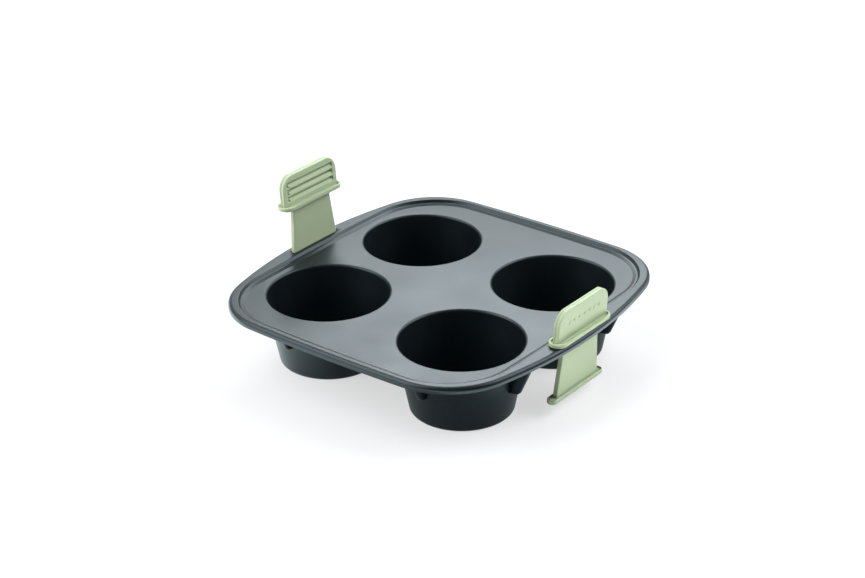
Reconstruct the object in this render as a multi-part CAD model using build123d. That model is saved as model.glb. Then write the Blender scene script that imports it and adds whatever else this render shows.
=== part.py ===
from build123d import *
import os
from math import radians, sqrt, tan

# A muffin mould for four muffins, moulded in one piece from silicone, with two silicone handles.
# Each handle is a wide strap that slides through a slot in the rim, with a grip at its top end
# and a bead, its foot, at its bottom end. A lowered handle rests with its grip on the rim. The strap
# gets wider towards the foot, so that a raised handle wedges in its slot with the foot just under the
# rim, and the hot mould can be lifted by its two grips.
#
# All lengths are in millimetres. The origin is on the table, under the middle of the mould.
# X runs from one handle to the other, with the lowered handle on the positive side. Z is up.

# Cups, and the deck left between their mouths along X and along Y
cup_height = 41.0
cup_mouth_radius = 34.8
gap_between_cups_x = 24.9
gap_between_cups_y = 15.4
cup_floor_radius = 27.3
cup_wall = 1.9
cup_floor = 2.0
mouth_round = 1.5
floor_round = 3.5
base_round = 2.2

# Well in the plate that joins the cups: how far it runs past the cups' mouths, its rounded
# outline, and its edge, which is a steep wall, a narrow ledge and a shallow slope to the deck
deck_thickness = 1.6
well_past_cups_x = 8.3
well_past_cups_y = 20.1
well_corner_radius = 42.0
well_side_radius = 2000.0
well_wall_inset = 1.1
ledge_width = 0.9
slope_width = 2.1
slope_drop = 0.8

# Raised rim round the well: its width where the handles are and on the two plain sides, and
# the radii of its outer outline
rim_height = 2.3
rim_width_at_handles = 10.75
rim_width_at_sides = 4.3
rim_corner_radius = 42.0
handle_side_radius = 284.0
plain_side_radius = 1300.0
rim_top_round = 2.2
rim_bottom_round = 0.5

# Ribs under the deck that stiffen the cups, one towards each outer side beside a cup. Their foot
# slopes down to the cup's wall
rib_thickness = 3.1
rib_past_cup_x = 10.8
rib_past_cup_y = 9.2
rib_taper = 8.6
rib_depth = 19.2
rib_foot_slope = 1.2
rib_corner_round = 3.0

# Handles. A lowered handle's foot hangs a little above the table, and the travel is how far a
# raised one stands above the rim
slot_from_rim_edge = 6.2
handle_tilt = 4.2
handle_travel = 27.2
foot_above_table = 7.2
strap_thickness = 2.9
strap_width_at_grip = 31.2
strap_width_at_foot = 38.4
strap_edge_round = 0.5
slot_clearance = 0.3
foot_length = 48.0
foot_thickness = 6.2
foot_height = 3.0
foot_round = 0.7
flange_length = 50.4
flange_thickness = 10.6
flange_height = 2.4
flange_round = 0.5
flange_lip = 1.2
flange_hollow_depth = 0.8
flange_hollow_round = 0.4
grip_height = 19.8
grip_width = 46.2
grip_thickness = 3.7
grip_corner_radius = 8.5
grip_edge_round = 0.9
grip_root_round = 1.5

# Grooves in the inner face of the grip, and round dimples in its outer face. Each groove has a
# flat ledge along its upper edge, for the finger to pull against, and runs out to the face below
groove_count = 3
groove_length = 39.5
groove_width = 3.4
groove_depth = 1.8
groove_ledge_slope = 0.3
groove_pitch = 4.2
groove_top_height = 11.8
dimple_count = 7
dimple_radius = 1.2
dimple_depth = 0.5
dimple_pitch = 4.6
dimple_height = 11.5

# How far a cutting shape runs past what it cuts
overrun = 2.0

# Heights
deck_top = cup_height
deck_bottom = deck_top - deck_thickness
rim_top = deck_top + rim_height
ledge_top = deck_top + slope_drop
rim_thickness = rim_top - deck_bottom

# Plan
cup_spacing_x = 2 * cup_mouth_radius + gap_between_cups_x
cup_spacing_y = 2 * cup_mouth_radius + gap_between_cups_y
well_length = cup_spacing_x + 2 * (cup_mouth_radius + well_past_cups_x)
well_width = cup_spacing_y + 2 * (cup_mouth_radius + well_past_cups_y)
rim_length = well_length + 2 * rim_width_at_handles
rim_width = well_width + 2 * rim_width_at_sides
rib_reach_x = cup_mouth_radius + cup_wall + rib_past_cup_x
rib_reach_y = cup_mouth_radius + cup_wall + rib_past_cup_y

# Handles
tilt_slope = tan(radians(handle_tilt))
handle_offset = rim_length / 2 - slot_from_rim_edge
strap_length = rim_top - foot_above_table - foot_height
strap_share_in_slot = (handle_travel + rim_thickness) / strap_length
strap_widening = strap_width_at_foot - strap_width_at_grip
width_in_slot = strap_width_at_grip + strap_share_in_slot * strap_widening

cup_centres = [
    (side_x * cup_spacing_x / 2, side_y * cup_spacing_y / 2)
    for side_x in (1, -1)
    for side_y in (1, -1)
]


def bowed_square(length, width, side_radius_x, side_radius_y, corner_radius, inset=0.0):
    """Outline with four gently bowed sides and four round corners, all tangent.

    The sides across X are arcs of side_radius_x and the sides across Y are arcs of side_radius_y.
    Each corner's centre lies where the circles about the two side centres, smaller by the corner
    radius, cross. An inset keeps all the centres and makes every radius smaller.
    """
    half_x = length / 2 - inset
    half_y = width / 2 - inset
    radius_x = side_radius_x - inset
    radius_y = side_radius_y - inset
    radius_c = corner_radius - inset
    centre_x = Vector(half_x - radius_x, 0)
    centre_y = Vector(0, half_y - radius_y)
    reach_x = radius_x - radius_c
    reach_y = radius_y - radius_c
    between = centre_y - centre_x
    distance = between.length
    along = (reach_x**2 - reach_y**2 + distance**2) / (2 * distance)
    across = sqrt(reach_x**2 - along**2)
    direction = between.normalized()
    square = Vector(-direction.Y, direction.X)
    corner = centre_x + direction * along + square * across
    towards_x = (corner - centre_x).normalized()
    towards_y = (corner - centre_y).normalized()
    end_x = centre_x + towards_x * radius_x
    end_y = centre_y + towards_y * radius_y
    middle = corner + (towards_x + towards_y).normalized() * radius_c

    edges = []
    for sign_x, sign_y in ((1, 1), (-1, 1), (-1, -1), (1, -1)):
        first, last = (end_x, end_y) if sign_x * sign_y > 0 else (end_y, end_x)
        first, passing, last = [Vector(p.X * sign_x, p.Y * sign_y) for p in (first, middle, last)]
        edges.append(Edge.make_three_point_arc(first, passing, last))
        if sign_x * sign_y > 0:
            apex = Vector(0, sign_y * half_y)
            following = Vector(-last.X, last.Y)
        else:
            apex = Vector(sign_x * half_x, 0)
            following = Vector(last.X, -last.Y)
        edges.append(Edge.make_three_point_arc(last, apex, following))
    return Face(Wire(edges))


def rim_outline():
    """Outer outline of the mould, bowed most on the two sides that carry the handles."""
    return bowed_square(
        rim_length, rim_width, handle_side_radius, plain_side_radius, rim_corner_radius
    )


def well_outline(inset):
    """Outline of the well in the deck, drawn in by inset on every side."""
    return bowed_square(
        well_length, well_width, well_side_radius, well_side_radius, well_corner_radius, inset
    )


def tapered_well(top, top_inset, bottom, bottom_inset):
    """Solid between two outlines of the well at two heights."""
    upper = Pos(0, 0, top) * well_outline(top_inset)
    lower = Pos(0, 0, bottom) * well_outline(bottom_inset)
    return loft([lower, upper], ruled=True)


def upright_profile(points, rounds):
    """Face in the XZ plane through (x, height) points, with some of its corners rounded.

    rounds gives the radius of the round at each point that has one, by the point's number.
    """
    profile = make_face(Polyline(*points, close=True))
    for number, radius in rounds.items():
        corner = profile.vertices().sort_by_distance(points[number])[0]
        profile = fillet(corner, radius)
    return Plane.XZ * profile


def cup_outside():
    """Outside of one cup, from the table up into the deck."""
    growth = (cup_mouth_radius - cup_floor_radius) / (cup_height - cup_floor)
    base_radius = cup_floor_radius + cup_wall - growth * cup_floor
    deck_radius = cup_mouth_radius + cup_wall - growth * deck_thickness / 2
    middle_of_deck = deck_top - deck_thickness / 2
    points = [(0, 0), (base_radius, 0), (deck_radius, middle_of_deck), (0, middle_of_deck)]
    return revolve(upright_profile(points, {1: base_round}), Axis.Z)


def cup_inside():
    """Space inside one cup, with a rounded floor and a rolled edge at its mouth."""
    flare = cup_mouth_radius + 2 * mouth_round
    points = [
        (0, cup_floor),
        (cup_floor_radius, cup_floor),
        (cup_mouth_radius, deck_top),
        (flare, deck_top),
        (flare, deck_top + overrun),
        (0, deck_top + overrun),
    ]
    return revolve(upright_profile(points, {1: floor_round, 2: mouth_round}), Axis.Z)


def rib(reach):
    """Rib of one cup, along +X from the cup's axis, with its outer corner rounded."""
    top = deck_bottom + deck_thickness / 2
    foot = deck_bottom - rib_depth
    low = foot - rib_foot_slope
    corner = (reach - rib_taper, foot)
    points = [(0, top), (reach, top), (reach, deck_bottom), corner, (cup_floor_radius, low), (0, low)]
    return extrude(upright_profile(points, {3: rib_corner_round}), rib_thickness / 2, both=True)


def handle_slot():
    """Slanted slot on the positive side, as wide as the part of the strap in it when raised."""
    section = Rectangle(strap_thickness + 2 * slot_clearance, width_in_slot + 2 * slot_clearance)
    section = fillet(section.vertices(), strap_edge_round)
    low = deck_bottom - overrun - rim_top
    start = Pos(handle_offset + tilt_slope * low, 0, rim_top + low) * section
    return extrude(start, (rim_thickness + 2 * overrun) / tilt_cosine(), dir=(tilt_slope, 0, 1))


def tilt_cosine():
    """Height gained for each millimetre along a tilted strap."""
    return 1 / sqrt(1 + tilt_slope**2)


def silicone_mould():
    """The mould: plate with a raised rim, four cups, their ribs and the two slots."""
    plate = extrude(Pos(0, 0, deck_bottom) * rim_outline(), rim_thickness)
    plate = fillet(plate.faces().sort_by(Axis.Z)[-1].edges(), rim_top_round)
    plate = fillet(plate.faces().sort_by(Axis.Z)[0].edges(), rim_bottom_round)
    well = tapered_well(rim_top, 0, ledge_top, well_wall_inset)
    well += extrude(Pos(0, 0, rim_top) * well_outline(0), overrun)
    slope_start = well_wall_inset + ledge_width
    well += tapered_well(ledge_top, slope_start, deck_top, slope_start + slope_width)
    mould = plate - well
    for x, y in cup_centres:
        mould += Pos(x, y, 0) * cup_outside()
        mould += Pos(x, y, 0) * Rot(0, 0, 0 if x > 0 else 180) * rib(rib_reach_x)
        mould += Pos(x, y, 0) * Rot(0, 0, 90 if y > 0 else -90) * rib(rib_reach_y)
    for x, y in cup_centres:
        mould -= Pos(x, y, 0) * cup_inside()
    for turn in (0, 180):
        mould -= Rot(0, 0, turn) * handle_slot()
    return mould


def stadium(length, thickness, height, edge_round):
    """Bar along Y with half-round ends, its edges rounded."""
    bar = extrude(Rot(0, 0, 90) * SlotOverall(length, thickness), height)
    return fillet(bar.faces().filter_by(Axis.Z).edges(), edge_round)


def strap():
    """Strap from the foot up to the grip, wider at the foot, slanted outwards at the top."""
    ends = []
    for height, width in ((-strap_length, strap_width_at_foot), (0, strap_width_at_grip)):
        section = Rectangle(strap_thickness, width)
        section = fillet(section.vertices(), strap_edge_round)
        ends.append(Pos(tilt_slope * height, 0, height) * section)
    return loft(ends, ruled=True)


def flange():
    """Flange under the grip, hollowed on top so that a lip stands all round the grip's root."""
    length = flange_length - 2 * flange_lip
    thickness = flange_thickness - 2 * flange_lip
    hollow = extrude(Rot(0, 0, 90) * SlotOverall(length, thickness), flange_height + overrun)
    hollow = fillet(hollow.faces().sort_by(Axis.Z)[0].edges(), flange_hollow_round)
    body = stadium(flange_length, flange_thickness, flange_height, flange_round)
    return body - Pos(0, 0, flange_height - flange_hollow_depth) * hollow


def grip():
    """Grip plate with its hollow root, standing in the flange's hollow."""
    lean = tilt_slope * grip_height
    half = grip_thickness / 2
    root = flange_thickness / 2 - flange_lip
    base = flange_height - flange_hollow_depth
    points = [
        (-root, 0),
        (root, 0),
        (root, base),
        (tilt_slope * base + half, base),
        (lean + half, grip_height),
        (lean - half, grip_height),
        (tilt_slope * base - half, base),
        (-root, base),
    ]
    rounds = {3: grip_root_round, 4: grip_edge_round, 5: grip_edge_round, 6: grip_root_round}
    body = extrude(upright_profile(points, rounds), grip_width / 2, both=True)
    front = Pos(0, grip_height / 2) * Rectangle(grip_width, grip_height)
    front = fillet(front.vertices().group_by(Axis.Y)[-1], grip_corner_radius)
    body &= extrude(Plane.YZ * front, flange_thickness, both=True)
    return body


def grip_details():
    """Grooves in the inner face and dimples in the outer face, as cutting shapes."""
    cuts = []
    half = grip_thickness / 2
    for number in range(groove_count):
        height = groove_top_height + (number - (groove_count - 1) / 2) * groove_pitch
        low = height - groove_width
        top_x = tilt_slope * height - half
        low_x = tilt_slope * low - half
        points = [
            (top_x - overrun, height),
            (top_x, height),
            (top_x + groove_depth, height - groove_ledge_slope),
            (low_x, low),
            (low_x - overrun, low),
        ]
        cuts.append(extrude(upright_profile(points, {}), groove_length / 2, both=True))
    ball = (dimple_radius**2 + dimple_depth**2) / (2 * dimple_depth)
    for number in range(dimple_count):
        place = (number - (dimple_count - 1) / 2) * dimple_pitch
        face_x = tilt_slope * dimple_height + half
        cuts.append(Pos(face_x - dimple_depth + ball, place, dimple_height) * Sphere(ball))
    return cuts


def handle():
    """One handle, its grip's underside at height zero, where it rests on the rim."""
    foot_place = Pos(-tilt_slope * strap_length, 0, -strap_length - foot_height)
    whole = strap()
    whole += foot_place * stadium(foot_length, foot_thickness, foot_height, foot_round)
    whole += flange()
    whole += grip()
    for cut in grip_details():
        whole -= cut
    return whole


def write(name, shape):
    """Write one piece to its own file and print its volume."""
    export_step(shape, os.path.join("parts", name + ".step"))
    print(name, "solids", len(shape.solids()), "volume", round(shape.volume))


os.makedirs("parts", exist_ok=True)
seated = Pos(handle_offset, 0, rim_top) * handle()
raised = Rot(0, 0, 180) * Pos(tilt_slope * handle_travel, 0, handle_travel) * seated
write("silicone_mould", silicone_mould())
write("front_handle", seated)
write("rear_handle", raised)
print("foot under the rim when raised", round(strap_length - rim_thickness - handle_travel, 3))
print("handle travel, along the strap", round(handle_travel / tilt_cosine(), 3))
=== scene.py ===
import bpy
import numpy as np
from math import cos, pi, radians, sin, sqrt, tan
from mathutils import Matrix, Vector


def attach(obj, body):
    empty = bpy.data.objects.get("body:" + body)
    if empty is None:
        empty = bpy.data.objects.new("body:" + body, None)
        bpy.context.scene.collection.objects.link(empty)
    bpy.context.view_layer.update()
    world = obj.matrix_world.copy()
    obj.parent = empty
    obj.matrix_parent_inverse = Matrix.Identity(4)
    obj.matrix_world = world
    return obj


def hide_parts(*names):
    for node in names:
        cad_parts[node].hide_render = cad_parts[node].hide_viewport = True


# A muffin mould for four muffins, moulded in one piece from dark silicone, with two sage silicone
# handles on straps that slide in slots in its rim. All shapes are worked out in millimetres and
# degrees here, and turned into metres when a piece is made.

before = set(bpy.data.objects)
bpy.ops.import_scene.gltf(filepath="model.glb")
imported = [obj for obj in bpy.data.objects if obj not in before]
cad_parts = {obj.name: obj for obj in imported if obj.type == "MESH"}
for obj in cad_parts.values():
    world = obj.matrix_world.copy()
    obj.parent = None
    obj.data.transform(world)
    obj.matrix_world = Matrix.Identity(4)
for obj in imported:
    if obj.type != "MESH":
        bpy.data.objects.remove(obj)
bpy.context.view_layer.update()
bpy.context.scene.view_settings.view_transform = "Standard"

# Cups
cup_centre = np.array([47.25, 42.5])
cup_height = 41.0
cup_mouth_radius = 34.8
cup_floor_radius = 27.3
cup_wall = 1.9
cup_floor = 2.0
mouth_round = 1.5
mouth_collar = 4.0
floor_round = 3.5
base_round = 2.2
under_round = 1.2
under_collar = 3.5
floor_rows = 7
wall_rows = 9
deck_rows = 7

# Deck, rim and the well between them
deck_bottom = 39.4
deck_edge = 4.7
ledge_top = 41.8
rim_top = 43.3
rim_length = 202.2
rim_width = 203.4
rim_bow_x = 284.0
rim_bow_y = 1300.0
rim_top_round = 2.2
rim_bottom_round = 0.5
rim_skirt = 2.4
well_length = 180.7
well_width = 194.8
well_bow = 2000.0
corner_radius = 42.0

# From the deck over a slope, a ledge and a wall to the rim: distance inside the well's outline, and height
well_profile = [
    (deck_edge, cup_height), (4.1, cup_height), (2.0, ledge_top), (1.1, ledge_top - 0.1),
    (0.0, rim_top), (-0.7, rim_top)]
well_rounds = [0.8, 0.8, 0.6, 0.7]

# Slots
slot_half_width = 19.25
slot_half_gap = 1.75
slot_frame = 0.3
slot_chamfer = 0.25
slot_wall_rows = 4

# Ribs
rib_reach_x = 47.5
rib_reach_y = 45.9
rib_root_reach = 31.5
rib_half_thickness = 1.55
rib_depth = 19.2
rib_taper = 8.6
rib_foot_fall = 1.2
rib_rounds = [0.8, 3.0]
rib_deck_overlap = 0.7
rib_wall_overlap = 1.0

# A rib's round edge: distance in from the edge, and in from the side
rib_edge = [(1.4, 0.0), (0.8, 0.06), (0.35, 0.25), (0.1, 0.55), (0.0, 0.95)]

# Handles: place, strap, foot, flange and grip
handle_offset = 94.9
handle_tilt = 4.2
handle_lift = 27.2
tilt_slope = tan(radians(handle_tilt))
strap_thickness = 2.9
strap_width_at_grip = 31.2
strap_width_at_foot = 38.4
strap_length = 33.1
strap_corner = 0.5
strap_fillet = 0.25
foot_length = 48.0
foot_thickness = 6.2
foot_height = 3.0
foot_edge = 0.7
foot_lip = 0.7
foot_hollow_depth = 0.7
foot_hollow_round = 0.3
flange_length = 50.4
flange_thickness = 10.6
flange_height = 2.4
flange_edge = 0.5
flange_lip = 1.2
flange_hollow_depth = 1.2
flange_hollow_round = 0.35
lip_round = 0.15
hollow_border = 0.6
grip_height = 19.8
grip_width = 46.2
grip_thickness = 3.7
grip_corner = 8.5
grip_root = 0.7
grip_root_width_share = 0.1
grip_root_corner_share = 0.8
grip_edge = 0.55
grip_least_corner = 0.05
least_flat = 0.03

# Points and rows of a handle's grid
row_step = 0.15
face_points = 181
corner_points = 6
edge_rows = 6
fillet_rows = 4
strap_rows = 18
root_rows = 7
grip_corner_rows = 40

# The seam that the two halves of the handle's own mould leave round the grip's edge
seam_half_width = 0.45
seam_slope = 0.2
seam_full_depth = 0.3
seam_start = 0.3

# Grooves and dimples are pushed in from this height above the flange on, where a point is this
# share of the half thickness or more from the middle
carving_start = 1.0
face_share = 0.98

# Grooves in the grip's inner face
groove_count = 3
groove_middle = 11.8
groove_pitch = 4.2
groove_height = 3.4
groove_half_length = 19.75
groove_end_round = 1.2
groove_end_slope = 0.4
groove_slope_height = 2.4
groove_slope_depth = 1.6
groove_wall = 0.3
slit_height = 1.8
slit_depth = 2.8
hook_width = 1.6

# Dimples in the grip's outer face
dimple_count = 7
dimple_pitch = 4.6
dimple_level = 11.5
dimple_radius = 1.3
dimple_full_depth = 0.5


# Outlines

class Bowed:
    """One quarter of an outline of four gently bowed sides and four round corners, all tangent."""

    def __init__(self, length, width, radius_x, radius_y, radius_c):
        """The corner's centre is where two circles cross.

        They lie about the centres of the two sides' arcs, and are smaller than those by the corner's radius.
        """
        self.radii = np.array([radius_x, radius_y, radius_c])
        cx = np.array([length / 2 - radius_x, 0.0])
        cy = np.array([0.0, width / 2 - radius_y])
        reach_x = radius_x - radius_c
        reach_y = radius_y - radius_c
        between = cy - cx
        distance = np.hypot(*between)
        along = (reach_x**2 - reach_y**2 + distance**2) / (2 * distance)
        across = sqrt(reach_x**2 - along**2)
        direction = between / distance
        corner = cx + direction * along + np.array([-direction[1], direction[0]]) * across
        self.centres = np.array([cx, cy, corner])
        self.towards = np.array([corner - cx, corner - cy])

    def part(self, points):
        """Which arc each point of the first quarter belongs to: 0 the X side, 1 the Y side, 2 the corner."""
        from_x = points - self.centres[0]
        from_y = points - self.centres[1]
        turn_x = self.towards[0][0] * from_x[..., 1] - self.towards[0][1] * from_x[..., 0]
        turn_y = self.towards[1][0] * from_y[..., 1] - self.towards[1][1] * from_y[..., 0]
        return np.where(turn_x < 0, 0, np.where(turn_y > 0, 1, 2))

    def outside(self, points):
        """How far each point is outside: its distance to the arc's centre, less the arc's radius."""
        part = self.part(points)
        return np.linalg.norm(points - self.centres[part], axis=-1) - self.radii[part]

    def normals(self, points):
        """Direction away from the centre of each point's arc."""
        away = points - self.centres[self.part(points)]
        return away / np.linalg.norm(away, axis=-1, keepdims=True)

    def walk(self, points, directions, inset, passes=40):
        """How far from each point, along its direction, the outline drawn in by inset lies.

        Each pass adds what is still missing.
        """
        reach = np.zeros(len(points))
        for _ in range(passes):
            reach = reach - self.outside(points + directions * reach[:, None]) - inset
        return reach


def rounded(points, radii, steps=5, support=0.12):
    """A line with its corners rounded.

    Each corner becomes an arc that touches both of its sides, with a point just before and after it.
    A point on the arc, from its centre, is the arc's start times the sine of the sweep still to go,
    plus its end times the sine of the sweep gone by, over the sine of the whole sweep.
    """
    points = np.array(points, float)
    out = [points[0]]
    for number in range(1, len(points) - 1):
        radius = radii[number - 1]
        here = points[number]
        if radius == 0:
            out.append(here)
            continue
        back = points[number - 1] - here
        on = points[number + 1] - here
        back_length = np.hypot(*back)
        on_length = np.hypot(*on)
        back = back / back_length
        on = on / on_length
        half = np.arccos(np.clip(back @ on, -1, 1)) / 2
        cut = radius / np.tan(half)
        middle = here + (back + on) / np.linalg.norm(back + on) * radius / np.sin(half)
        start = here + back * cut - middle
        end = here + on * cut - middle
        sweep = pi - 2 * half
        if back_length - cut > 2 * support:
            out.append(here + back * (cut + support))
        for step in range(steps + 1):
            share = step / steps
            out.append(middle + (start * sin((1 - share) * sweep) + end * sin(share * sweep)) / sin(sweep))
        if on_length - cut > 2 * support:
            out.append(here + on * (cut + support))
    out.append(points[-1])
    return np.array(out)


# Meshes

def grid_faces(index, turned=False):
    """Quads of a grid of vertex numbers, facing where its rows crossed with its columns point to."""
    quads = np.stack([index[:-1, :-1], index[1:, :-1], index[1:, 1:], index[:-1, 1:]], -1).reshape(-1, 4)
    return quads[:, ::-1] if turned else quads


class Shell:
    """Patches of vertices that are joined into one closed mesh where they meet."""

    def __init__(self):
        self.points = []
        self.quads = []
        self.count = 0

    def add(self, patch, turned=False, keep=None):
        """Adds a grid of points, turned to face the other way if asked. keep says which quads stay."""
        rows, columns = patch.shape[:2]
        index = np.arange(rows * columns).reshape(rows, columns) + self.count
        quads = grid_faces(index, turned)
        if keep is not None:
            quads = quads[keep.reshape(-1)]
        self.points.append(patch.reshape(-1, 3))
        self.quads.append(quads)
        self.count += rows * columns

    def mirrored(self):
        """The four quarters that mirror this one across X and across Y."""
        points = np.concatenate(self.points)
        quads = np.concatenate(self.quads)
        whole = Shell()
        for sign_x, sign_y in ((1, 1), (-1, 1), (-1, -1), (1, -1)):
            whole.points.append(points * np.array([sign_x, sign_y, 1]))
            turned = quads + whole.count
            whole.quads.append(turned if sign_x * sign_y > 0 else turned[:, ::-1])
            whole.count += len(points)
        return whole

    def mesh(self, name, place=None):
        """One object, with the points that agree to a hundredth of a micron joined."""
        points = np.concatenate(self.points)
        quads = np.concatenate(self.quads)
        _, first, same = np.unique(np.round(points, 5), axis=0, return_index=True, return_inverse=True)
        points = points[first]
        quads = same.reshape(-1)[quads]
        if place is not None:
            points = place(points)
        following = np.roll(quads, -1, axis=1)
        kept = quads != following
        sides = kept.sum(1)
        quads = quads[sides >= 3]
        kept = kept[sides >= 3]
        sides = sides[sides >= 3]
        data = bpy.data.meshes.new(name)
        data.vertices.add(len(points))
        data.vertices.foreach_set("co", (points * 0.001).astype(np.float32).reshape(-1))
        data.loops.add(int(sides.sum()))
        data.loops.foreach_set("vertex_index", quads[kept].astype(np.int32))
        data.polygons.add(len(sides))
        data.polygons.foreach_set("loop_start", np.concatenate([[0], np.cumsum(sides)[:-1]]).astype(np.int32))
        data.polygons.foreach_set("use_smooth", np.ones(len(sides), bool))
        data.update(calc_edges=True)
        data.validate()
        piece = bpy.data.objects.new(name, data)
        bpy.context.scene.collection.objects.link(piece)
        return piece


def lift(plan, height):
    """Points in plan at one height or at a height each."""
    return np.concatenate([plan, np.broadcast_to(height, plan.shape[:-1])[..., None]], -1)


# The mould

growth = (cup_mouth_radius - cup_floor_radius) / (cup_height - cup_floor)
outer_base = cup_floor_radius + cup_wall - growth * cup_floor
rim = Bowed(rim_length, rim_width, rim_bow_x, rim_bow_y, corner_radius)
well = Bowed(well_length, well_width, well_bow, well_bow, corner_radius)


def spokes(count=168):
    """Directions of the spokes of one cup's grid, evenly spaced but for five.

    Those five are moved onto the mould's centre, the middles of the two sides and the slot's end,
    where the side's bow draws the edge in by the square of the distance over twice the bow's radius.
    """
    angles = np.linspace(-pi, pi, count, endpoint=False)
    side_x = well_length / 2 - deck_edge
    side_y = well_width / 2 - deck_edge
    wanted = [(0.0, 0.0), (0.0, side_y), (side_x, 0.0)]
    for along in (slot_half_width, slot_half_width + slot_frame):
        wanted.append((side_x - along**2 / (2 * well_bow), along))
    fixed = []
    for target in wanted:
        away = np.array(target) - cup_centre
        fixed.append(np.arctan2(away[1], away[0]))
    for value in fixed:
        near = np.abs(angles - value)
        order = np.argsort(near)
        for candidate in order:
            if angles[candidate] not in fixed:
                angles[candidate] = value
                break
    return np.sort(angles), fixed


def build_mould():
    """The skin of the mould, one quarter worked out and mirrored.

    Spokes run from one cup's axis over its floor, up its wall and over the deck. Those that reach
    the well's edge go on square to it over the rim, down its side and back under the plate, and all
    of them end on the cup's outside and its base.
    """
    angles, fixed = spokes()
    towards = np.stack([np.cos(angles), np.sin(angles)], -1)
    first = int(np.argmin(np.abs(angles - fixed[2])))
    last = int(np.argmin(np.abs(angles - fixed[1])))
    slot_end = int(np.argmin(np.abs(angles - fixed[3]))) - first

    # How far each spoke goes: to the middle planes, or to the deck's edge, found by halving the gap
    with np.errstate(divide="ignore"):
        reach_x = np.where(towards[:, 0] < -1e-9, -cup_centre[0] / towards[:, 0], 1e9)
        reach_y = np.where(towards[:, 1] < -1e-9, -cup_centre[1] / towards[:, 1], 1e9)
    low = np.zeros(len(angles))
    high = np.full(len(angles), rim_width)
    for _ in range(60):
        middle = (low + high) / 2
        inside = well.outside(cup_centre + towards * middle[:, None]) < -deck_edge
        low = np.where(inside, middle, low)
        high = np.where(inside, high, middle)
    outer = np.zeros(len(angles), bool)
    outer[first:last + 1] = True
    reach = np.where(outer, low, np.minimum(reach_x, reach_y))
    edge = cup_centre + towards * reach[:, None]
    edge[np.abs(edge) < 1e-4] = 0

    # Cup inside, revolved, and the deck out to the edge points
    inner = rounded(
        [(0, cup_floor), (cup_floor_radius, cup_floor), (cup_mouth_radius, cup_height),
         (cup_mouth_radius + mouth_collar, cup_height)],
        [floor_round, mouth_round], steps=8, support=0.4)
    inner = inner[:-1]
    extra = np.linspace(inner[0], inner[1], floor_rows)[:-1]
    wall_at = int(np.argmax(np.diff(inner[:, 1])))
    wall = np.linspace(inner[wall_at], inner[wall_at + 1], wall_rows)[1:-1]
    inner = np.concatenate([extra, inner[1:wall_at + 1], wall, inner[wall_at + 1:]])
    closed = np.concatenate([towards, towards[:1]])
    cup = lift(cup_centre + inner[:, None, :1] * closed[None], inner[:, None, 1])
    quarter = Shell()
    quarter.add(cup)
    shares = np.linspace(0, 1, deck_rows)
    ring = cup_centre + inner[-1, 0] * closed
    outline = np.concatenate([edge, edge[:1]])
    deck = ring[None] + shares[:, None, None] * (outline - ring)[None]
    quarter.add(lift(deck, cup_height))

    # The strip over the rim and back under it
    start = edge[first:last + 1]
    square = well.normals(start)
    square[0] = (1, 0)
    square[-1] = (0, 1)
    well_rows = rounded(well_profile, well_rounds, steps=4, support=0.1)
    plan = [start + square * (deck_edge - inset) for inset, _ in well_rows]
    heights = [height for _, height in well_rows]
    rim_rows = rounded(
        [(rim_skirt, rim_top), (0.0, rim_top), (0.0, deck_bottom), (rim_skirt, deck_bottom)],
        [rim_top_round, rim_bottom_round], steps=8, support=0.05)
    rim_plan = [start + square * rim.walk(start, square, inset)[:, None] for inset, _ in rim_rows]
    rim_heights = [height for _, height in rim_rows]

    def slot_rows(level, from_plan, to_plan):
        """Plan of the four rows that frame the slot, at one level.

        On the slot's spokes they lie at fixed distances across it, and beyond them each keeps the
        share of the way from the well to the rim that it has at the slot's end.
        """
        rows = []
        drop = tilt_slope * (level - rim_top)
        span = to_plan - from_plan
        across = np.where(np.abs(span[:, 0]) < 1e-6, 1, span[:, 0])
        framed = slot_half_gap + slot_frame
        for offset in (-framed, -slot_half_gap, slot_half_gap, framed):
            share = (handle_offset + drop + offset - from_plan[:, 0]) / across
            share = np.where(np.arange(len(start)) > slot_end + 1, share[slot_end + 1], share)
            rows.append(from_plan + span * share[:, None])
        return rows

    top_rows = slot_rows(rim_top, plan[-1], rim_plan[0])
    low_rows = slot_rows(deck_bottom, plan[-1], rim_plan[-1])
    chamfer = np.where(np.arange(len(start)) <= slot_end, slot_chamfer, 0)
    top_heights = [rim_top, rim_top - chamfer, rim_top - chamfer, rim_top]
    low_heights = [deck_bottom, deck_bottom + chamfer, deck_bottom + chamfer, deck_bottom]
    strip_plan = plan + top_rows + rim_plan + low_rows[::-1] + [plan[-1], start]
    strip_heights = heights + top_heights + rim_heights + low_heights[::-1] + [deck_bottom, deck_bottom]
    strip = np.stack([lift(row, height) for row, height in zip(strip_plan, strip_heights)])
    keep = np.ones((strip.shape[0] - 1, strip.shape[1] - 1), bool)
    top_in = len(plan) + 1
    low_out = len(plan) + 4 + len(rim_plan) + 1
    keep[top_in, :slot_end] = False
    keep[low_out, :slot_end] = False
    quarter.add(strip, keep=keep)

    # The slot's two long walls and its end
    on_slot = slice(0, slot_end + 1)
    quarter.add(np.linspace(strip[top_in, on_slot], strip[low_out + 1, on_slot], slot_wall_rows))
    quarter.add(np.linspace(strip[top_in + 1, on_slot], strip[low_out, on_slot], slot_wall_rows), turned=True)
    top_end = strip[top_in:top_in + 2, slot_end]
    low_end = strip[[low_out + 1, low_out], slot_end]
    quarter.add(np.linspace(top_end, low_end, slot_wall_rows))

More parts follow.
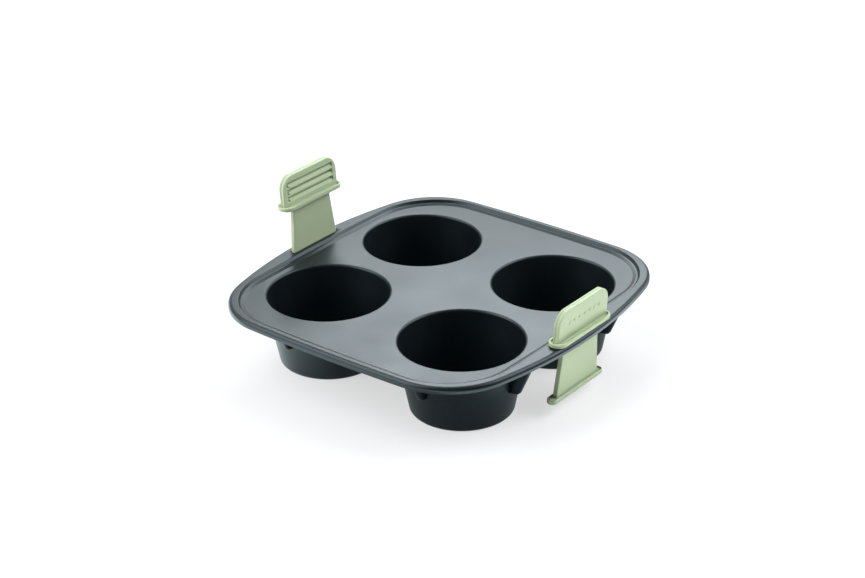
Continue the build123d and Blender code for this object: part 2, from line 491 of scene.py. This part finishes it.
    # Under the deck, down the cup's outside and over its base
    under_radius = outer_base + growth * deck_bottom
    outside = rounded(
        [(under_radius + under_collar, deck_bottom), (under_radius, deck_bottom), (outer_base, 0), (0, 0)],
        [under_round, base_round], steps=6, support=0.4)
    wall_at = int(np.argmax(-np.diff(outside[:, 1])))
    wall = np.linspace(outside[wall_at], outside[wall_at + 1], wall_rows)[1:-1]
    base = np.linspace(outside[-2], outside[-1], floor_rows)[1:]
    outside = np.concatenate([outside[:wall_at + 1], wall, outside[wall_at + 1:-1], base])
    ring = cup_centre + outside[0, 0] * closed
    under = outline[None] + shares[:, None, None] * (ring - outline)[None]
    quarter.add(lift(under, deck_bottom))
    quarter.add(lift(cup_centre + outside[:, None, :1] * closed[None], outside[:, None, 1]))
    return quarter.mirrored()


def build_ribs():
    """Two ribs at each cup, each a closed plate lofted along its outer edge.

    Rings run across the rib from a hidden line inside the cup's wall out to the edge, over its
    round edge and back. They follow the edge down the slanted side, round the corner and along the
    foot to the wall.
    """
    high = deck_bottom + rib_deck_overlap
    foot = deck_bottom - rib_depth
    low = foot - rib_foot_fall
    shell = Shell()
    profile = [(0.0, -rib_half_thickness), (None, -rib_half_thickness)]
    profile += [(inset, aside - rib_half_thickness) for inset, aside in rib_edge]
    profile += [(inset, -side) for inset, side in profile[::-1]]
    for direction, reach in ((0, rib_reach_x), (1, rib_reach_y)):
        line = rounded(
            [(reach, high), (reach, deck_bottom), (reach - rib_taper, foot), (rib_root_reach, low)],
            rib_rounds, steps=10, support=0.3)
        line = np.concatenate([line[:-1], np.linspace(line[-2], line[-1], 5)[1:]])
        inner_z = np.linspace(high, low, len(line))
        inner = np.stack([outer_base + growth * inner_z - rib_wall_overlap, inner_z], -1)
        tangent = np.gradient(line, axis=0)
        tangent /= np.linalg.norm(tangent, axis=1, keepdims=True)
        inward = np.stack([tangent[:, 1], -tangent[:, 0]], -1)
        rings = []
        for number, (inset, side) in enumerate(profile):
            if number in (0, len(profile) - 1):
                plane = inner
            elif inset is None:
                plane = inner + (line - inner) * 0.5
            else:
                plane = line + inward * inset
            rings.append(np.stack([plane[:, 0], np.full(len(plane), side), plane[:, 1]], -1))
        rings.append(rings[0])
        tube = np.stack(rings, 1)
        half = len(profile) // 2
        cap_top = np.stack([tube[0, :half], tube[0, 2 * half - 1:half - 1:-1]], 0)
        cap_low = np.stack([tube[-1, :half], tube[-1, 2 * half - 1:half - 1:-1]], 0)
        turn = np.eye(3) if direction == 0 else np.array([[0, 1, 0], [-1, 0, 0], [0, 0, 1]])
        for patch, turned in ((tube, False), (cap_top, True), (cap_low, False)):
            placed = patch @ turn + np.array([cup_centre[0], cup_centre[1], 0])
            shell.add(placed, turned=turned)
    return shell.mirrored()


def handle_sections():
    """Half thickness, half width, corner radius and height of the handle's sections, from the foot up.

    A round edge or a fillet is a quarter turn: its inset is the radius times one less the sine of
    the turn, and its height is the radius times one less the cosine.
    """
    rows = []

    def put(height, half_thickness, half_width, corner):
        """Adds a section, its corner radius a little less than its half thickness at most."""
        rows.append((height, half_thickness, half_width, min(corner, half_thickness - least_flat)))

    def bar(low, height, thickness, length, edge, support=0.12):
        """A bar with half-round ends and round edges."""
        turns = np.linspace(0, pi / 2, edge_rows)
        for turn in turns:
            inset = edge * (1 - sin(turn))
            level = low + edge * (1 - cos(turn))
            put(level, thickness / 2 - inset, length / 2 - inset, thickness / 2 - inset)
        put(low + edge + support, thickness / 2, length / 2, thickness / 2)
        put(low + height - edge - support, thickness / 2, length / 2, thickness / 2)
        for turn in turns[::-1]:
            inset = edge * (1 - sin(turn))
            level = low + height - edge * (1 - cos(turn))
            put(level, thickness / 2 - inset, length / 2 - inset, thickness / 2 - inset)

    def hollow(top, base, thickness, length, lip, base_radius, steps):
        """A hollow in a bar's top: over the lip, down its inner side and in along the hollow's base."""
        inner = thickness / 2 - lip
        line = [(-hollow_border, top), (0.0, top), (0.0, base), (hollow_border, base)]
        for inset, level in rounded(line, [lip_round, base_radius], steps=steps, support=0.05)[1:]:
            put(level, inner - inset, length / 2 - lip - inset, inner - inset)

    # Foot and strap
    foot_base = -strap_length - foot_hollow_depth
    bar(-strap_length - foot_height, foot_height, foot_thickness, foot_length, foot_edge)
    hollow(-strap_length, foot_base, foot_thickness, foot_length, foot_lip, foot_hollow_round, steps=3)
    half = strap_thickness / 2
    for turn in np.linspace(0, pi / 2, fillet_rows):
        out = strap_fillet * (1 - sin(turn))
        level = foot_base + strap_fillet * (1 - cos(turn))
        put(level, half + out, strap_width_at_foot / 2 + out, strap_corner + out)
    put(-strap_length, half, strap_width_at_foot / 2, strap_corner)
    for share in np.linspace(0, 1, strap_rows)[1:-1]:
        width = strap_width_at_foot + share * (strap_width_at_grip - strap_width_at_foot)
        level = -strap_length + strap_fillet + share * (strap_length - 2 * strap_fillet)
        put(level, half, width / 2, strap_corner)
    for turn in np.linspace(pi / 2, 0, fillet_rows):
        out = strap_fillet * (1 - sin(turn))
        put(-strap_fillet * (1 - cos(turn)), half + out, strap_width_at_grip / 2 + out, strap_corner + out)

    # Flange
    base = flange_height - flange_hollow_depth
    bar(0.0, flange_height, flange_thickness, flange_length, flange_edge)
    hollow(flange_height, base, flange_thickness, flange_length, flange_lip, flange_hollow_round, steps=4)

    # Grip: a fillet at its root, mostly across its thickness, then straight sides, and round upper
    # corners where the width follows a circle and the thickness follows the round edge
    half = grip_thickness / 2
    for turn in np.linspace(0, pi / 2, root_rows):
        out = grip_root * (1 - sin(turn))
        level = base + grip_root * (1 - cos(turn))
        aside = grip_width / 2 + out * grip_root_width_share
        put(level, half + out, aside, grip_edge + grip_least_corner + out * grip_root_corner_share)
    corner_low = grip_height - grip_corner
    straight = np.arange(base + grip_root + row_step, corner_low, row_step)
    turns = np.linspace(0, pi / 2, grip_corner_rows)[1:]
    heights = np.concatenate([straight, corner_low + grip_corner * np.sin(turns)])
    for height in heights:
        width = grip_width / 2
        if height > corner_low:
            width += sqrt(max(grip_corner**2 - (height - corner_low) ** 2, 0)) - grip_corner
        above = max(height - (grip_height - grip_edge), 0)
        thin = grip_edge - sqrt(max(grip_edge**2 - above**2, 0))
        put(height, half - thin, width, grip_edge * (1 - above / grip_edge) + grip_least_corner)
    return np.array(rows)


def groove_depth(y, z):
    """How far the grooves push the grip's inner face in at each point.

    From its lower edge up a groove grows evenly deeper, and under its upper edge, and at one end,
    lies a deeper slit. Its lower corners are cut off by a quarter of a circle, and it ends in steep walls.
    """
    depth = np.zeros_like(y)
    for number in range(groove_count):
        top = groove_middle + (number - (groove_count - 1) / 2) * groove_pitch
        low = top - groove_height
        slope = groove_slope_depth * np.clip((z - low) / groove_slope_height, 0, 1)
        slit = slit_depth * np.clip((z - top + slit_height) / groove_wall, 0, 1)
        below = np.clip(groove_end_round - (z - low), 0, groove_end_round)
        half_length = groove_half_length - groove_end_round + np.sqrt(groove_end_round**2 - below**2)
        hook = slit_depth * np.clip((y - half_length + hook_width) / groove_wall, 0, 1)
        hook = hook * np.clip((z - low) / groove_wall, 0, 1)
        ledge = np.clip((top - z) / groove_wall, 0, 1)
        end = np.clip((half_length - np.abs(y)) / groove_end_slope, 0, 1)
        depth = np.maximum(depth, np.maximum(slope, np.maximum(slit, hook)) * ledge * end)
    return depth


def dimple_depth(y, z):
    """How far the dimples push the grip's outer face in at each point.

    Each is a bowl: its depth times one less the square of the distance from its centre over its
    radius, made a little steeper by the power of 1.2.
    """
    depth = np.zeros_like(y)
    for number in range(dimple_count):
        centre = (number - (dimple_count - 1) / 2) * dimple_pitch
        distance = np.hypot(y - centre, z - dimple_level) / dimple_radius
        depth = np.maximum(depth, dimple_full_depth * np.clip(1 - distance**2, 0, 1) ** 1.2)
    return depth


def seam_depth(x):
    """How far the seam pushes the grip's edge in, at a distance from the middle of its thickness.

    It is full in the middle, and falls off evenly to nothing at the seam's half width.
    """
    return seam_full_depth * np.clip((seam_half_width - np.abs(x)) / seam_slope, 0, 1)


def build_handle(name, place):
    """A handle as one skin: rounded rectangles stacked from the foot up, its ends closed by strips.

    The stack leans by the handle's tilt. Then the seam pushes the grip's edge in, square to its
    outline, the grooves push its inner face in, and the dimples push its outer face in.
    """
    rows = handle_sections()
    height, half, width, corner = [rows[:, number][:, None] for number in range(4)]
    across = np.linspace(-1, 1, face_points)[None]
    arcs = np.linspace(0, pi / 2, corner_points)[None]
    flat = width - corner
    deep = half - corner
    outer_face = np.stack([half * np.ones_like(across), flat * across], -1)
    inner_slope = seam_half_width - seam_slope
    seam = np.array([[seam_half_width, inner_slope, -inner_slope, -seam_half_width]])
    edge = np.clip(seam, -deep, deep)
    end = np.stack([edge, np.broadcast_to(width, edge.shape)], -1)
    sides = [
        outer_face[:, :-1],
        np.stack([deep + corner * np.cos(arcs), flat + corner * np.sin(arcs)], -1),
        end,
        np.stack([-deep - corner * np.sin(arcs), flat + corner * np.cos(arcs)], -1),
        -outer_face[:, 1:-1],
        np.stack([-deep - corner * np.cos(arcs), -flat - corner * np.sin(arcs)], -1),
        -end,
        np.stack([deep + corner * np.sin(arcs), -flat - corner * np.cos(arcs)], -1)[:, :-1]]
    section = np.concatenate(sides, 1)
    leaning = section[..., 0] + tilt_slope * height
    tube = np.stack([leaning, section[..., 1], np.broadcast_to(height, section.shape[:2])], -1)

    # Seam, grooves and dimples
    rise = np.clip((height - grip_height + grip_corner) / grip_corner, 0, 1)
    pushed = np.where(height > flange_height + seam_start, seam_depth(section[..., 0]), 0)
    tube[..., 1] -= np.sign(section[..., 1]) * np.sqrt(1 - rise**2) * pushed
    tube[..., 2] -= rise * pushed
    y = tube[..., 1]
    z = tube[..., 2]
    on_grip = z > flange_height + carving_start
    inner = on_grip & (section[..., 0] < -half * face_share)
    outer = on_grip & (section[..., 0] > half * face_share)
    tube[..., 0] += np.where(inner, groove_depth(y, z), 0) - np.where(outer, dimple_depth(y, z), 0)

    # The skin, and strips across its two ends, of which the top one carries the seam on
    shell = Shell()
    shell.add(np.concatenate([tube, tube[:, :1]], 1), turned=True)
    half_count = tube.shape[1] // 2
    from_seam = np.roll(tube, corner_points + 1, axis=1)
    for row, turned, seamed in ((0, False, 0), (-1, True, 1)):
        near = from_seam[row, :half_count]
        far = from_seam[row, half_count:][::-1]
        reach = (near[:, 0] - far[:, 0]) / 2
        rungs = [near]
        for aside in seam[0]:
            share = np.clip(aside, -reach, reach) / reach
            rung = (near + far) / 2 + (near - far) / 2 * share[:, None]
            rung[:, 2] = height[row] - seamed * seam_depth(share * reach)
            rungs.append(rung)
        shell.add(np.stack(rungs + [far]), turned=turned)
    return shell.mesh(name, place)


def seated(points):
    """The lowered handle's place, at the positive side."""
    return points + np.array([handle_offset, 0, rim_top])


def raised(points):
    """The raised handle's place, turned half way round and lifted along its strap."""
    lifted = points + np.array([handle_offset + tilt_slope * handle_lift, 0, rim_top + handle_lift])
    return lifted * np.array([-1, -1, 1])


mould = build_mould().mesh("mould_skin")
ribs = build_ribs().mesh("mould_ribs")
front = build_handle("front_handle_skin", seated)
rear = build_handle("rear_handle_skin", raised)

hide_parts("silicone_mould")
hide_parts("silicone_mould")
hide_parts("front_handle")
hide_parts("rear_handle")
for piece, body, slot in (
    (mould, "mould", "mould_silicone"),
    (ribs, "mould", "mould_silicone"),
    (front, "front_handle", "handle_silicone"),
    (rear, "rear_handle", "handle_silicone"),
):
    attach(piece, body)


# Materials

def colour(code):
    """Linear colour of an sRGB hex code."""
    parts = [int(code[at:at + 2], 16) / 255 for at in (1, 3, 5)]
    return [*(part / 12.92 if part <= 0.04045 else ((part + 0.055) / 1.055) ** 2.4 for part in parts), 1.0]


def node(tree, kind, settings=(), links=()):
    """Adds a node, sets its attributes and sockets, and links other nodes' outputs into it."""
    added = tree.nodes.new(kind)
    for name, value in dict(settings).items():
        if isinstance(name, str) and hasattr(added, name) and name not in added.inputs:
            setattr(added, name, value)
        else:
            added.inputs[name].default_value = value
    for name, (source, output) in dict(links).items():
        tree.links.new(source.outputs[output], added.inputs[name])
    return added


# Moulded silicone takes a grain of about 0.05 mm from its steel mould, too fine to show here. So it
# is drawn 0.9 mm wide and 0.03 mm high, which breaks the shine up as softly. Both are in metres.
grain_size = 0.0009
grain_height = 0.00003


def silicone(name, dark, light, roughness, patch_size, index, gloss, depth):
    """Moulded silicone: two close shades in soft patches, uneven gloss, a fine grain and some depth.

    A patch is where the powdery bloom on the skin lies thicker: lighter and duller. Seen by the eye
    as a rubbery, half-matt skin. Sizes are in metres.
    """
    made = bpy.data.materials.new(name)
    made.use_nodes = True
    tree = made.node_tree
    shader = tree.nodes["Principled BSDF"]
    place = node(tree, "ShaderNodeTexCoord")
    patches = node(
        tree, "ShaderNodeTexNoise", {"Scale": 1 / patch_size, "Detail": 3.0, "Roughness": 0.55},
        {"Vector": (place, "Object")})
    grain = node(
        tree, "ShaderNodeTexNoise", {"Scale": 1 / grain_size, "Detail": 2.0, "Roughness": 0.6},
        {"Vector": (place, "Object")})
    shades = node(
        tree, "ShaderNodeMix", {"data_type": "RGBA", 6: colour(dark), 7: colour(light)},
        {0: (patches, "Fac")})
    rough = node(
        tree, "ShaderNodeMapRange",
        {"From Min": 0.3, "From Max": 0.7, "To Min": roughness[0], "To Max": roughness[1]},
        {"Value": (patches, "Fac")})
    bump = node(
        tree, "ShaderNodeBump", {"Strength": 0.5, "Distance": grain_height}, {"Height": (grain, "Fac")})
    tree.links.new(shades.outputs[2], shader.inputs["Base Color"])
    tree.links.new(rough.outputs["Result"], shader.inputs["Roughness"])
    tree.links.new(bump.outputs["Normal"], shader.inputs["Normal"])
    shader.inputs["IOR"].default_value = index
    shader.inputs["Specular Tint"].default_value = colour(gloss)
    shader.inputs["Subsurface Weight"].default_value = depth
    shader.inputs["Subsurface Radius"].default_value = (1.0, 0.9, 0.5)
    shader.inputs["Subsurface Scale"].default_value = 0.0012
    return made


# Near black under a satin skin: all that the eye sees of it is the grey of what it mirrors
slate = silicone(
    "compression_moulded_slate_silicone", "#060b0f", "#0a1115", roughness=(0.33, 0.39),
    patch_size=0.03, index=1.38, gloss="#e6f9ff", depth=0.0)

# Chalky green with a duller skin than silicone's index of 1.4 gives, and a little light inside
sage = silicone(
    "compression_moulded_sage_silicone", "#acba97", "#b2c09e", roughness=(0.42, 0.5),
    patch_size=0.02, index=1.2, gloss="#ffffff", depth=0.05)

for piece, material in ((mould, slate), (ribs, slate), (front, sage), (rear, sage)):
    piece.data.materials.append(material)


# Floor

# Matt white paper with the object's shadow on it
floor_reach = 6.0
floor_data = bpy.data.meshes.new("floor")
floor_corners = [(-floor_reach, -floor_reach, 0), (floor_reach, -floor_reach, 0),
                 (floor_reach, floor_reach, 0), (-floor_reach, floor_reach, 0)]
floor_data.from_pydata(floor_corners, [], [(0, 1, 2, 3)])
floor = bpy.data.objects.new("floor", floor_data)
bpy.context.scene.collection.objects.link(floor)
paper = bpy.data.materials.new("white_studio_paper")
paper.use_nodes = True
floor_data.materials.append(paper)
tree = paper.node_tree
matt = tree.nodes["Principled BSDF"]
matt.inputs["Base Color"].default_value = colour("#f4f4f4")
matt.inputs["Roughness"].default_value = 0.95
matt.inputs["Specular IOR Level"].default_value = 0.0
ray = node(tree, "ShaderNodeLightPath")
place = node(tree, "ShaderNodeTexCoord")

# To the camera the paper turns plain white with distance, and meets the backdrop without an edge
distance = node(tree, "ShaderNodeVectorMath", {"operation": "LENGTH"}, {0: (place, "Object")})
far = node(
    tree, "ShaderNodeMapRange", {"From Min": 0.4, "From Max": 1.2, "To Min": 0.6, "To Max": 1.0},
    {"Value": (distance, "Value")})
seen = node(
    tree, "ShaderNodeMath", {"operation": "MULTIPLY"}, {0: (ray, "Is Camera Ray"), 1: (far, "Result")})
white = node(tree, "ShaderNodeEmission", {"Color": (1, 1, 1, 1), "Strength": 1.0})
lit = node(
    tree, "ShaderNodeMixShader", {}, {0: (seen, "Value"), 1: (matt, "BSDF"), 2: (white, "Emission")})

# In reflections the paper grows brighter towards the front left, and a narrow light card lies along
# the object's front right side, which draws the bright line along the rim's lower edge
card_brightness = 5.5
leftwards = node(
    tree, "ShaderNodeVectorMath", {"operation": "DOT_PRODUCT", 1: (-0.62, -0.78, 0.0)},
    {0: (place, "Object")})
left_shine = node(
    tree, "ShaderNodeMapRange", {"From Min": 0.06, "From Max": 0.19, "To Min": 0.5, "To Max": 4.5},
    {"Value": (leftwards, "Value")})
rightwards = node(
    tree, "ShaderNodeVectorMath", {"operation": "DOT_PRODUCT", 1: (1.0, 0.0, 0.0)},
    {0: (place, "Object")})
card_start = node(
    tree, "ShaderNodeMapRange",
    {"From Min": 0.105, "From Max": 0.125, "To Min": 0.0, "To Max": card_brightness},
    {"Value": (rightwards, "Value")})
card_end = node(
    tree, "ShaderNodeMapRange",
    {"From Min": 0.16, "From Max": 0.19, "To Min": card_brightness, "To Max": 0.0},
    {"Value": (rightwards, "Value")})
card = node(
    tree, "ShaderNodeMath", {"operation": "MINIMUM"}, {0: (card_start, "Result"), 1: (card_end, "Result")})
shine = node(
    tree, "ShaderNodeMath", {"operation": "ADD"}, {0: (left_shine, "Result"), 1: (card, "Value")})
cool_glow = node(
    tree, "ShaderNodeEmission", {"Color": (0.86, 0.97, 1.0, 1)}, {"Strength": (shine, "Value")})
blend = node(
    tree, "ShaderNodeMixShader", {},
    {0: (ray, "Is Glossy Ray"), 1: (lit, "Shader"), 2: (cool_glow, "Emission")})
tree.links.new(blend.outputs[0], tree.nodes["Material Output"].inputs["Surface"])


# Backdrop

# White to the camera and faint to soft light. Reflections see it white behind the object and dark on
# the camera's side, where the room is unlit, so the cups' insides stay black.
room_light = 0.1
world = bpy.data.worlds.new("studio")
bpy.context.scene.world = world
world.use_nodes = True
tree = world.node_tree
background = tree.nodes["Background"]
background.inputs["Color"].default_value = (1, 1, 1, 1)
ray = node(tree, "ShaderNodeLightPath")
place = node(tree, "ShaderNodeTexCoord")
behind = node(
    tree, "ShaderNodeVectorMath", {"operation": "DOT_PRODUCT", 1: (-0.62, 0.78, 0.0)},
    {0: (place, "Generated")})
share = node(
    tree, "ShaderNodeMapRange", {"From Min": -0.3, "From Max": 0.4, "To Min": 0.2, "To Max": 1.0},
    {"Value": (behind, "Value")})
reflected = node(
    tree, "ShaderNodeMath", {"operation": "MULTIPLY"}, {0: (ray, "Is Glossy Ray"), 1: (share, "Result")})
seen = node(
    tree, "ShaderNodeMath", {"operation": "MAXIMUM"}, {0: (ray, "Is Camera Ray"), 1: (reflected, "Value")})
strength = node(tree, "ShaderNodeMath", {"operation": "MAXIMUM", 1: room_light}, {0: (seen, "Value")})
tree.links.new(strength.outputs[0], background.inputs["Strength"])


# Softboxes

def lamp(name, place, aim, size, radiance, tint=(1.0, 1.0, 1.0)):
    """A rectangular softbox at a place, facing a point.

    Its energy is its radiance times pi times its area, so a radiance of 1 is as bright as white paper.
    """
    data = bpy.data.lights.new(name, "AREA")
    data.shape = "RECTANGLE"
    data.size, data.size_y = size
    data.energy = radiance * pi * size[0] * size[1]
    data.color = tint
    made = bpy.data.objects.new(name, data)
    bpy.context.scene.collection.objects.link(made)
    made.location = place
    made.rotation_euler = (Vector(aim) - Vector(place)).to_track_quat("-Z", "Y").to_euler()


table_centre = (0, 0, 0)
object_middle = (0, 0, 0.03)
lamp("overhead_softbox", (-0.9, -0.1, 1.6), table_centre, (1.4, 1.4), 1.6)
lamp("right_softbox", (0.95, 1.0, 1.2), object_middle, (1.4, 1.5), 5.6, (0.97, 1.0, 1.05))
lamp("left_softbox", (-0.9, -1.05, 1.1), object_middle, (1.3, 1.6), 5.6, (0.97, 1.0, 1.03))
lamp("back_softbox", (-0.38, 0.69, 0.57), object_middle, (0.62, 0.22), 11.8, (0.95, 1.02, 1.06))


# Camera

# Fitted by least squares to the ellipses of the cups' mouths and bases and to the rim's outline
azimuth, elevation, roll = radians(38.624), radians(26.915), radians(-0.971)
camera_aim = Vector((-0.0035, -0.0033, 0.0401))
camera_distance = 1.1877
camera_data = bpy.data.cameras.new("camera")
camera_data.lens = 87.47
camera_data.sensor_width = 36
camera = bpy.data.objects.new("camera", camera_data)
bpy.context.scene.collection.objects.link(camera)
back = Vector((cos(elevation) * sin(azimuth), -cos(elevation) * cos(azimuth), sin(elevation)))
level = Vector((cos(azimuth), sin(azimuth), 0))
right = level * cos(roll) + back.cross(level) * sin(roll)
camera_place = Matrix((right, back.cross(right), back)).transposed().to_4x4()
camera_place.translation = camera_aim + back * camera_distance
camera.matrix_world = camera_place
bpy.context.scene.camera = camera
